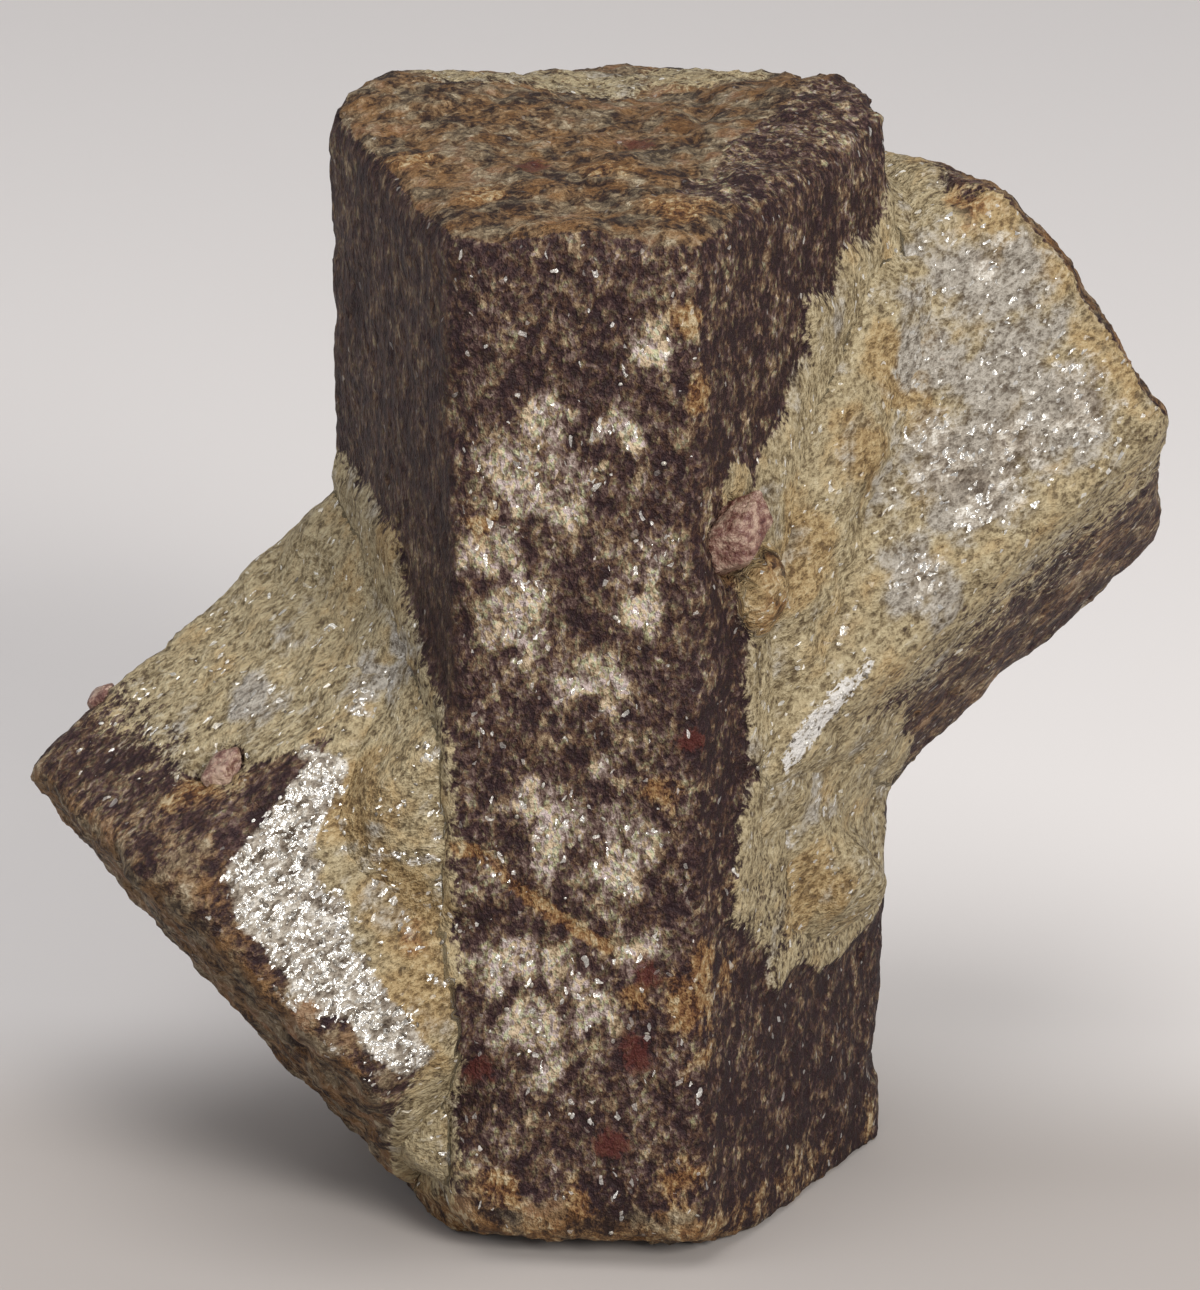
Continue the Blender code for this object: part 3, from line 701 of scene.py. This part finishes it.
def flake_steps(paint):
    """Strews little six-sided mica plates over a surface, as thickly as its `flakes` value says."""
    steps = Steps("strew mica flakes", FLAKE_SIZES)
    share = steps.add("GeometryNodeInputNamedAttribute", {"data_type": "FLOAT"}, {"Name": "flakes"})
    thick = steps.add("ShaderNodeMath", {"operation": "MULTIPLY"},
                      {0: share.outputs["Attribute"], 1: steps.size("Flakes per square metre")})
    points = steps.add("GeometryNodeDistributePointsOnFaces", {"distribute_method": "RANDOM"},
                       {"Mesh": steps.size("Geometry"), "Density": thick.outputs[0],
                        "Seed": steps.size("Seed")})
    plate = steps.add("GeometryNodeMeshCylinder", {"fill_type": "TRIANGLE_FAN"},
                      {"Vertices": 6, "Radius": steps.size("Flake radius"),
                       "Depth": steps.size("Flake thickness")})
    lean = steps.size("Lean")
    back = steps.add("ShaderNodeMath", {"operation": "MULTIPLY"}, {0: lean, 1: -1.0})
    low = steps.add("ShaderNodeCombineXYZ", {}, {0: back.outputs[0], 1: back.outputs[0], 2: -math.pi})
    high = steps.add("ShaderNodeCombineXYZ", {}, {0: lean, 1: lean, 2: math.pi})
    turn = steps.add("FunctionNodeRandomValue", {"data_type": "FLOAT_VECTOR"},
                     {0: low.outputs[0], 1: high.outputs[0], "Seed": 11})
    turn = steps.add("FunctionNodeEulerToRotation", {}, {0: turn.outputs[0]})
    turned = steps.add("FunctionNodeRotateRotation", {"rotation_space": "LOCAL"},
                       {0: points.outputs["Rotation"], 1: turn.outputs[0]})
    scale = steps.add("FunctionNodeRandomValue", {"data_type": "FLOAT_VECTOR"},
                      {0: FLAKE_LEAST, 1: FLAKE_MOST, "Seed": 12})
    flakes = steps.add("GeometryNodeInstanceOnPoints", {},
                       {"Points": points.outputs["Points"], "Instance": plate.outputs["Mesh"],
                        "Rotation": turned.outputs[0], "Scale": scale.outputs[0]})
    tone = steps.add("FunctionNodeRandomValue", {"data_type": "FLOAT"}, {"Seed": 13})
    toned = steps.add("GeometryNodeStoreNamedAttribute", {"data_type": "FLOAT", "domain": "INSTANCE"},
                      {"Geometry": flakes.outputs[0], "Name": "tone", "Value": tone.outputs["Value"]})
    real = steps.add("GeometryNodeRealizeInstances", {}, {"Geometry": toned.outputs[0]})
    painted = steps.add("GeometryNodeSetMaterial", {}, {"Geometry": real.outputs[0], "Material": paint})
    steps.tree.links.new(painted.outputs[0], steps.end.inputs[0])
    return steps


def make_flakes(name, hosts, paint):
    """All the loose flakes on these pieces, as one mesh."""
    points, faces, shares, first = [], [], [], 0
    for host in hosts:
        points.append(points_of(host.data))
        faces += [[first + corner for corner in face.vertices] for face in host.data.polygons]
        share = np.empty(len(host.data.vertices), np.float32)
        host.data.attributes["flakes"].data.foreach_get("value", share)
        shares.append(share)
        first += len(share)
    mesh = bpy.data.meshes.new(name)
    mesh.from_pydata(np.concatenate(points), [], faces)
    store(mesh, "flakes", np.concatenate(shares))
    made = add_object(name, mesh)
    steps = flake_steps(paint)
    strew = made.modifiers.new("strew", "NODES")
    strew.node_group = steps.tree
    for size, value in FLAKE_SIZES.items():
        strew[steps.sizes[size]] = value
    settle(made)
    return made


# ---- shader maths ----

class Value:
    """A node's output that can be used in sums and products."""

    def __init__(self, paint, socket):
        self.paint = paint
        self.socket = socket

    def maths(self, operation, *values):
        return self.paint.add("ShaderNodeMath", {"operation": operation}, dict(enumerate(values)))

    def __add__(self, other):
        return self.maths("ADD", self, other)

    def __sub__(self, other):
        return self.maths("SUBTRACT", self, other)

    def __rsub__(self, other):
        return self.maths("SUBTRACT", other, self)

    def __mul__(self, other):
        return self.maths("MULTIPLY", self, other)

    __radd__ = __add__
    __rmul__ = __mul__

    def ease(self, low, high):
        """0 below low, 1 above high, and a smooth rise between."""
        settings = {"interpolation_type": "SMOOTHSTEP"}
        return self.paint.add("ShaderNodeMapRange", settings, {0: self, 1: low, 2: high})


class Paint:
    """A material under construction."""

    def __init__(self, name):
        self.material = bpy.data.materials.new(name)
        self.material.use_nodes = True
        self.tree = self.material.node_tree
        self.shader = self.tree.nodes["Principled BSDF"]
        self.place = self.add("ShaderNodeTexCoord", output="Object")

    def connect(self, socket, value):
        if isinstance(value, Value):
            self.tree.links.new(value.socket, socket)
        elif socket.type == "RGBA":
            socket.default_value = (*value, 1)
        else:
            socket.default_value = value

    def add(self, kind, settings=None, sockets=None, output=0):
        """A node of this type, with its settings made first and then its sockets."""
        node = self.tree.nodes.new(kind)
        for name, value in (settings or {}).items():
            setattr(node, name, value)
        for name, value in (sockets or {}).items():
            self.connect(node.inputs[name], value)
        return Value(self, node.outputs[output])

    def attribute(self, name, output="Fac"):
        return self.add("ShaderNodeAttribute", {"attribute_name": name}, output=output)

    def noise(self, size, detail, where=None, roughness=0.6):
        """Cloudy noise of about 0.3 to 0.7 with lumps of this size."""
        sockets = {"Vector": where or self.place, "Scale": 1 / size}
        sockets.update({"Detail": detail, "Roughness": roughness})
        return self.add("ShaderNodeTexNoise", None, sockets)

    def cells(self, size, where=None):
        """Grains of this size: how far from the middle of one, and a colour of its own."""
        sockets = {"Vector": where or self.place, "Scale": 1 / size}
        distance = self.add("ShaderNodeTexVoronoi", None, sockets)
        return distance, Value(self, distance.socket.node.outputs["Color"])

    def one_of(self, colour):
        """The first of a colour's three numbers."""
        return self.add("ShaderNodeSeparateColor", None, {0: colour})

    def mix(self, factor, first, second):
        """From the first colour to the second as the factor goes from 0 to 1."""
        return self.add("ShaderNodeMix", {"data_type": "RGBA"}, {0: factor, 6: first, 7: second}, 2)

    def tint(self, colour, value, stops):
        """Multiplies a colour by another that changes with a value."""
        settings = {"data_type": "RGBA", "blend_type": "MULTIPLY"}
        return self.add("ShaderNodeMix", settings, {0: 1.0, 6: colour, 7: self.ramp(value, *stops)}, 2)

    def ramp(self, value, *stops):
        """A colour for each value, between (place, colour) stops."""
        node = self.tree.nodes.new("ShaderNodeValToRGB")
        for _ in stops[2:]:
            node.color_ramp.elements.new(0.5)
        for element, (place, colour) in zip(node.color_ramp.elements, stops):
            element.position = place
            element.color = (*colour, 1)
        self.connect(node.inputs[0], value)
        return Value(self, node.outputs[0])

    def shades(self, level, colours):
        """A mineral's colours from its darkest grains to its palest."""
        return self.ramp(level, *zip(LEVELS, colours))

    def bend(self, where, size, amount):
        """Coordinates pushed about by noise, so that what follows them is ragged."""
        sockets = {"Vector": where, "Scale": 1 / size, "Detail": 0.0}
        push = self.add("ShaderNodeTexNoise", None, sockets, "Color")
        push = self.vector("SUBTRACT", push, (0.5, 0.5, 0.5))
        return self.vector("MULTIPLY_ADD", push, (amount,) * 3, where)

    def vector(self, operation, *values):
        return self.add("ShaderNodeVectorMath", {"operation": operation}, dict(enumerate(values)))

    def bump(self, height, depth):
        return self.add("ShaderNodeBump", None, {"Height": height, "Distance": depth})

    def tilt(self, normal, amount, own):
        """Turns the surface of each grain a little its own way."""
        turn = self.vector("SCALE", self.vector("SUBTRACT", own, (0.5, 0.5, 0.5)))
        self.connect(turn.socket.node.inputs["Scale"], amount)
        return self.vector("NORMALIZE", self.vector("ADD", normal, turn))

    def finish(self, colour, roughness, normal=None, metallic=0.0, gloss=0.5):
        self.connect(self.shader.inputs["Base Color"], colour)
        self.connect(self.shader.inputs["Roughness"], roughness)
        if normal is not None:
            self.connect(self.shader.inputs["Normal"], normal)
        self.connect(self.shader.inputs["Metallic"], metallic)
        self.shader.inputs["Specular IOR Level"].default_value = gloss
        return self.material


# ---- materials ----

# Each mineral's colours at six levels of grain, from its darkest to its palest.
LEVELS = (0.34, 0.43, 0.50, 0.57, 0.64, 0.74)
STONE = ((0.018, 0.008, 0.008), (0.044, 0.024, 0.018), (0.086, 0.059, 0.040), (0.155, 0.126, 0.084),
         (0.265, 0.240, 0.170), (0.47, 0.45, 0.35))
BROWN = ((0.022, 0.010, 0.007), (0.072, 0.038, 0.018), (0.130, 0.074, 0.034), (0.185, 0.112, 0.054),
         (0.25, 0.165, 0.088), (0.38, 0.29, 0.185))
SCHIST = ((0.11, 0.078, 0.040), (0.23, 0.180, 0.100), (0.34, 0.278, 0.168), (0.41, 0.345, 0.215),
          (0.47, 0.405, 0.265), (0.60, 0.55, 0.41))
OCHRE_SCHIST = ((0.11, 0.062, 0.022), (0.21, 0.138, 0.060), (0.32, 0.228, 0.112), (0.39, 0.295, 0.158),
                (0.45, 0.360, 0.21), (0.57, 0.50, 0.36))
# The bluish grey is partly the schist's own colour and partly a painted sheen.
GREY_SCHIST_AND_SHEEN = ((0.12, 0.100, 0.080), (0.22, 0.195, 0.160), (0.32, 0.290, 0.245), (0.39, 0.360, 0.310),
               (0.46, 0.42, 0.36), (0.66, 0.63, 0.58))
SILVER = ((0.050, 0.034, 0.024), (0.125, 0.098, 0.072), (0.205, 0.172, 0.136), (0.29, 0.250, 0.200),
          (0.40, 0.36, 0.30), (0.64, 0.61, 0.55))
RUSTY = ((0.045, 0.016, 0.007), (0.12, 0.050, 0.017), (0.20, 0.100, 0.036), (0.28, 0.165, 0.068),
         (0.35, 0.24, 0.12), (0.46, 0.37, 0.23))
DULL = ((0.050, 0.036, 0.024), (0.10, 0.076, 0.048), (0.155, 0.122, 0.078), (0.21, 0.170, 0.110),
        (0.28, 0.235, 0.16), (0.42, 0.37, 0.27))
# How the dark crystal's grains differ in colour, from violet to green to red.
TINTS = ((0.40, (1.06, 0.90, 1.10)), (0.47, (1.0, 0.98, 1.02)), (0.53, (0.98, 1.06, 0.84)),
         (0.60, (1.15, 0.94, 0.82)))
# Single colours that are laid over the grains.
DIRT = (0.085, 0.058, 0.034)
RED_GLASS = (0.075, 0.014, 0.010)
ORANGE = (0.24, 0.110, 0.030)
RED_BROWN = (0.125, 0.040, 0.022)
# The pale colour of the highlight painted along the right arm's ridge.
PAINTED_HIGHLIGHT = (0.60, 0.58, 0.55)
# The near-white colour of glinting grains: a painted highlight over their real metallic reflection.
GLINT = (0.86, 0.84, 0.79)

GARNET_SHADES = ((0.36, (0.055, 0.014, 0.012)), (0.46, (0.125, 0.050, 0.038)),
                 (0.54, (0.21, 0.115, 0.085)), (0.66, (0.40, 0.28, 0.21)))
GARNET_VEIN = (0.09, 0.018, 0.02)
MICA_SHADES = ((0.0, (0.12, 0.10, 0.08)), (0.5, (0.36, 0.33, 0.28)), (1.0, (0.78, 0.76, 0.71)))

# The floor's painted shade in front of the specimen, its painted light behind it, and where they
# change.
FLOOR_PAINTED_SHADE = (0.42, 0.39, 0.37)
FLOOR_PAINTED_LIGHT = (0.74, 0.715, 0.70)
FLOOR_CHANGES = (-5 * MM, 12 * MM)


class StonePaint(Paint):
    """Staurolite, schist and mica, each where the values kept on the surface put it."""

    def __init__(self, name):
        super().__init__(name)
        grain = self.attribute("grain", "Vector")
        self.cloud = self.noise(2.0 * MM, 2, grain, 0.65)
        self.patch = self.noise(0.70 * MM, 3, grain)
        self.speck = self.noise(0.22 * MM, 2, grain, 0.75)
        self.blotch = self.noise(1.5 * MM, 1, roughness=0.8)
        bent = self.bend(grain, 0.45 * MM, 0.4 * MM)
        gap, crumb = self.cells(0.28 * MM, bent)
        self.flake = self.cells(0.15 * MM, bent)[1]
        self.spot = self.one_of(self.flake) - 0.5
        # The same noise about 0, to make other values uneven with.
        self.clouds = self.cloud - 0.5
        self.patches = self.patch - 0.5
        self.specks = self.speck - 0.5
        texture = 0.4 * self.clouds + 0.75 * self.patches + 0.7 * self.specks
        self.texture = texture + 0.2 * (self.one_of(crumb) - 0.5) - 0.12 * (gap - 0.5)
        self.rough = 0.8 * self.patches + 0.5 * self.specks

    def crystal(self):
        """The dark crystal's grains, and the brown, rusty and dull weathering over them."""
        level = 0.5 + self.attribute("pale") + self.texture * self.attribute("spread")
        stone = self.tint(self.shades(level, STONE), self.patch + 0.5 * self.spot, TINTS)
        brown = (self.attribute("brown") + 0.8 * self.clouds + self.rough).ease(0.30, 0.70)
        weathered = self.shades(0.505 + 0.75 * self.texture + 0.5 * self.clouds, BROWN)
        colour = self.mix(brown, stone, weathered)
        orange = (self.blotch + 0.4 * self.rough).ease(0.53, 0.66) * brown
        colour = self.mix(0.35 * orange, colour, ORANGE)
        reddish = (self.cloud + 0.4 * self.rough).ease(0.56, 0.66) * brown
        colour = self.mix(0.4 * reddish, colour, RED_BROWN)
        dull = (1.0 - self.blotch + 0.3 * self.rough).ease(0.50, 0.62) * brown
        return self.mix(0.7 * dull, colour, self.shades(0.49 + 0.8 * self.texture, DULL))

    def schist(self):
        """The schist, khaki to ochre or bluish grey, the grey partly a painted sheen, with dark specks
        of dirt.
        """
        tone = 0.48 + 0.35 * self.texture + 0.3 * self.specks + 0.05 * self.spot
        ochre = (self.attribute("ochre") + 3.0 * self.clouds + 1.4 * self.rough).ease(0.05, 0.75)
        colour = self.mix(ochre, self.shades(tone, SCHIST), self.shades(tone, OCHRE_SCHIST))
        # Bluish grey: partly the schist's own colour, partly a painted sheen.
        grey = (self.attribute("grey") - 2.6 * self.clouds + 1.4 * self.rough).ease(0.15, 0.8)
        colour = self.mix(grey, colour, self.shades(tone, GREY_SCHIST_AND_SHEEN))
        dirt = (0.60 - self.speck - 0.5 * self.patches).ease(0.14, 0.26)
        return self.mix(0.3 * dirt, colour, DIRT)

    def covered(self):
        """The schist over the crystal, ragged where it ends."""
        cover = self.attribute("cover") + 0.7 * self.rough + 0.6 * self.specks + 0.3 * self.spot
        return self.mix(cover.ease(0.30, 0.70), self.crystal(), self.schist())

    def stained(self, colour):
        """Rust and deep red over a colour."""
        rusty = (self.attribute("rust") + 1.0 * self.clouds + 1.4 * self.rough).ease(0.22, 0.72)
        colour = self.mix(0.85 * rusty, colour, self.shades(0.5 + self.texture, RUSTY))
        red = (self.attribute("deep_red") + 1.6 * self.rough).ease(0.3, 0.6)
        return self.mix(0.8 * red, colour, RED_GLASS)

    def whole(self):
        """The finished material."""
        silver = self.attribute("silver")
        edge = silver.ease(0.0, 0.25)
        silver = (silver + 0.9 * self.clouds + 1.6 * self.rough).ease(0.12, 0.78) * edge
        tone = 0.53 + 0.06 * self.attribute("crescent") + 1.0 * self.patches + 0.5 * self.specks
        silvery = self.shades(tone + 0.12 * self.spot, SILVER)
        colour = self.stained(self.mix(silver, self.covered(), silvery))
        # Along the right arm's ridge: a glossier finish, and a pale painted highlight mixed into the
        # colour.
        gloss_and_painted_highlight = self.attribute("gloss_and_painted_highlight")
        edge = gloss_and_painted_highlight.ease(0.0, 0.3)
        gloss_and_painted_highlight = (gloss_and_painted_highlight + 2.0 * self.rough + 0.9 * self.spot).ease(0.3, 0.7) * edge
        colour = self.mix(gloss_and_painted_highlight, colour, PAINTED_HIGHLIGHT)
        # Glint cells reflect for real, being metallic, smoother and tilted, and they also get a painted
        # highlight: a near-white colour.
        glint = (0.5 + self.spot + self.attribute("sparkle")).ease(0.99, 1.02)
        colour = self.mix(0.9 * glint, colour, GLINT)
        normal = self.bump(self.patch + 0.7 * self.speck, 0.35 * MM)
        normal = self.tilt(normal, 0.10 + 0.8 * glint, self.flake)
        roughness = 0.64 - 0.32 * glint - 0.1 * silver - 0.3 * gloss_and_painted_highlight
        return self.finish(colour, roughness, normal, 0.7 * glint, 0.25)


def garnet_paint(name, paleness):
    """Garnet in patches from dark red to pale, crossed by thin veins."""
    paint = Paint(name)
    patch = paint.noise(0.42 * MM, 4, roughness=0.65) + paleness
    veins = paint.noise(0.8 * MM, 3)
    veins = veins.ease(0.48, 0.52) - veins.ease(0.52, 0.56)
    colour = paint.mix(0.5 * veins, paint.ramp(patch, *GARNET_SHADES), GARNET_VEIN)
    relief = paint.bump(paint.noise(0.2 * MM, 3), 0.15 * MM)
    normal = paint.tilt(relief, 0.25, paint.cells(0.3 * MM)[1])
    return paint.finish(colour, 0.38, normal)


def mica_paint():
    """Loose mica flakes, each of its own tone."""
    paint = Paint("mica")
    colour = paint.ramp(paint.attribute("tone"), *MICA_SHADES)
    normal = paint.bump(paint.noise(0.12 * MM, 2), 0.02 * MM)
    return paint.finish(colour, 0.34, normal, 0.4)


def floor_paint():
    paint = Paint("pale floor")
    # Painted light: the floor is darker in front of the specimen and paler behind it.
    behind = paint.add("ShaderNodeSeparateXYZ", None, {0: paint.place}, "Y").ease(*FLOOR_CHANGES)
    return paint.finish(paint.mix(behind, FLOOR_PAINTED_SHADE, FLOOR_PAINTED_LIGHT), 0.85)


# ---- the room ----

# The floor's profile: where it starts, where it bends up, how wide the bend is and in how many
# steps, how high the wall goes on above it, and half its width. All in metres.
FLOOR_START = -1.2
BEND_START = 0.35
BEND = 0.25
BEND_STEPS = 16
WALL = 0.5
FLOOR_HALF = 1.5

# The lights: name, azimuth and elevation in degrees, distance, size, power and colour.
LIGHTS = (("key", 36, 28, 0.45, 0.14, 1.7, (1.0, 0.97, 0.93)),
          ("top", -20, 72, 0.5, 0.35, 1.3, (1.0, 0.98, 0.96)),
          ("left", -70, 20, 0.6, 0.35, 0.5, (0.93, 0.96, 1.0)))
WORLD_COLOUR = (0.95, 0.95, 1.0)
WORLD_STRENGTH = 0.35


def add_light(name, azimuth, elevation, distance, size, power, colour):
    """A soft square light that looks at the specimen from this side."""
    way = way_to(math.radians(azimuth), math.radians(elevation))
    light = bpy.data.lights.new(name, "AREA")
    light.size = size
    light.energy = power
    light.color = colour
    made = bpy.data.objects.new(name, light)
    bpy.context.scene.collection.objects.link(made)
    made.location = Vector(MIDDLE) + way * distance
    made.rotation_euler = way.to_track_quat("Z", "Y").to_euler()


def make_floor():
    """One plain sheet that lies flat under the specimen and bends up behind it."""
    profile = [(FLOOR_START, 0.0), (BEND_START, 0.0)]
    for step in range(1, BEND_STEPS + 1):
        turn = math.radians(90 * step / BEND_STEPS)
        profile.append((BEND_START + BEND * math.sin(turn), BEND * (1 - math.cos(turn))))
    profile.append((BEND_START + BEND, BEND + WALL))
    shape = bmesh.new()
    rows = [[shape.verts.new((side, y, z)) for y, z in profile] for side in (-FLOOR_HALF, FLOOR_HALF)]
    for i in range(len(profile) - 1):
        shape.faces.new((rows[0][i], rows[1][i], rows[1][i + 1], rows[0][i + 1]))
    mesh = bpy.data.meshes.new("floor")
    shape.to_mesh(mesh)
    shape.free()
    mesh.shade_smooth()
    mesh.materials.append(floor_paint())
    add_object("floor", mesh)


def make_room():
    make_floor()
    world = bpy.data.worlds.new("studio")
    bpy.context.scene.world = world
    world.use_nodes = True
    background = world.node_tree.nodes["Background"]
    background.inputs["Color"].default_value = (*WORLD_COLOUR, 1)
    background.inputs["Strength"].default_value = WORLD_STRENGTH
    for light in LIGHTS:
        add_light(*light)
    bpy.context.scene.view_settings.view_transform = "Standard"


# ---- build ----

def surface_of_nodes(nodes):
    """The surface of these CAD nodes together, to find the nearest point on."""
    shape = bmesh.new()
    for node in nodes:
        shape.from_mesh(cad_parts[node].data)
    surface = BVHTree.FromBMesh(shape)
    shape.free()
    return surface


def place_piece(piece, paint, slot, *nodes):
    """Gives a piece its material and hides the CAD nodes that it stands for. The slot is not used."""
    piece.data.materials.clear()
    piece.data.materials.append(paint)
    piece.data.shade_smooth()
    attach(piece, "root")
    if nodes:
        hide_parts(*nodes)


make_camera()
make_room()

garnets = [make_garnet(node, math.radians(slope), narrowing) for node, slope, narrowing, _ in GARNETS]
garnet_surfaces = [surface_of(garnet) for garnet in garnets]
schist_surface = surface_of_nodes(SCHIST_NODES)
crystal = make_crystal(schist_surface, garnet_surfaces)
crystal_surface = surface_of(crystal)
schists = [make_schist(node, crystal_surface, schist_surface, garnet_surfaces) for node in SCHIST_NODES]
mica = mica_paint()
flakes = make_flakes("mica_flakes", [crystal, *schists], mica)

stone = StonePaint("staurolite and schist").whole()
place_piece(crystal, stone, "staurolite", "staurolite_twin")
for schist, node in zip(schists, SCHIST_NODES):
    place_piece(schist, stone, "mica_schist", node)
for garnet, (node, _, _, paleness) in zip(garnets, GARNETS):
    place_piece(garnet, garnet_paint(node.replace("_", " "), paleness), "garnet", node)
place_piece(flakes, mica, "mica_schist")
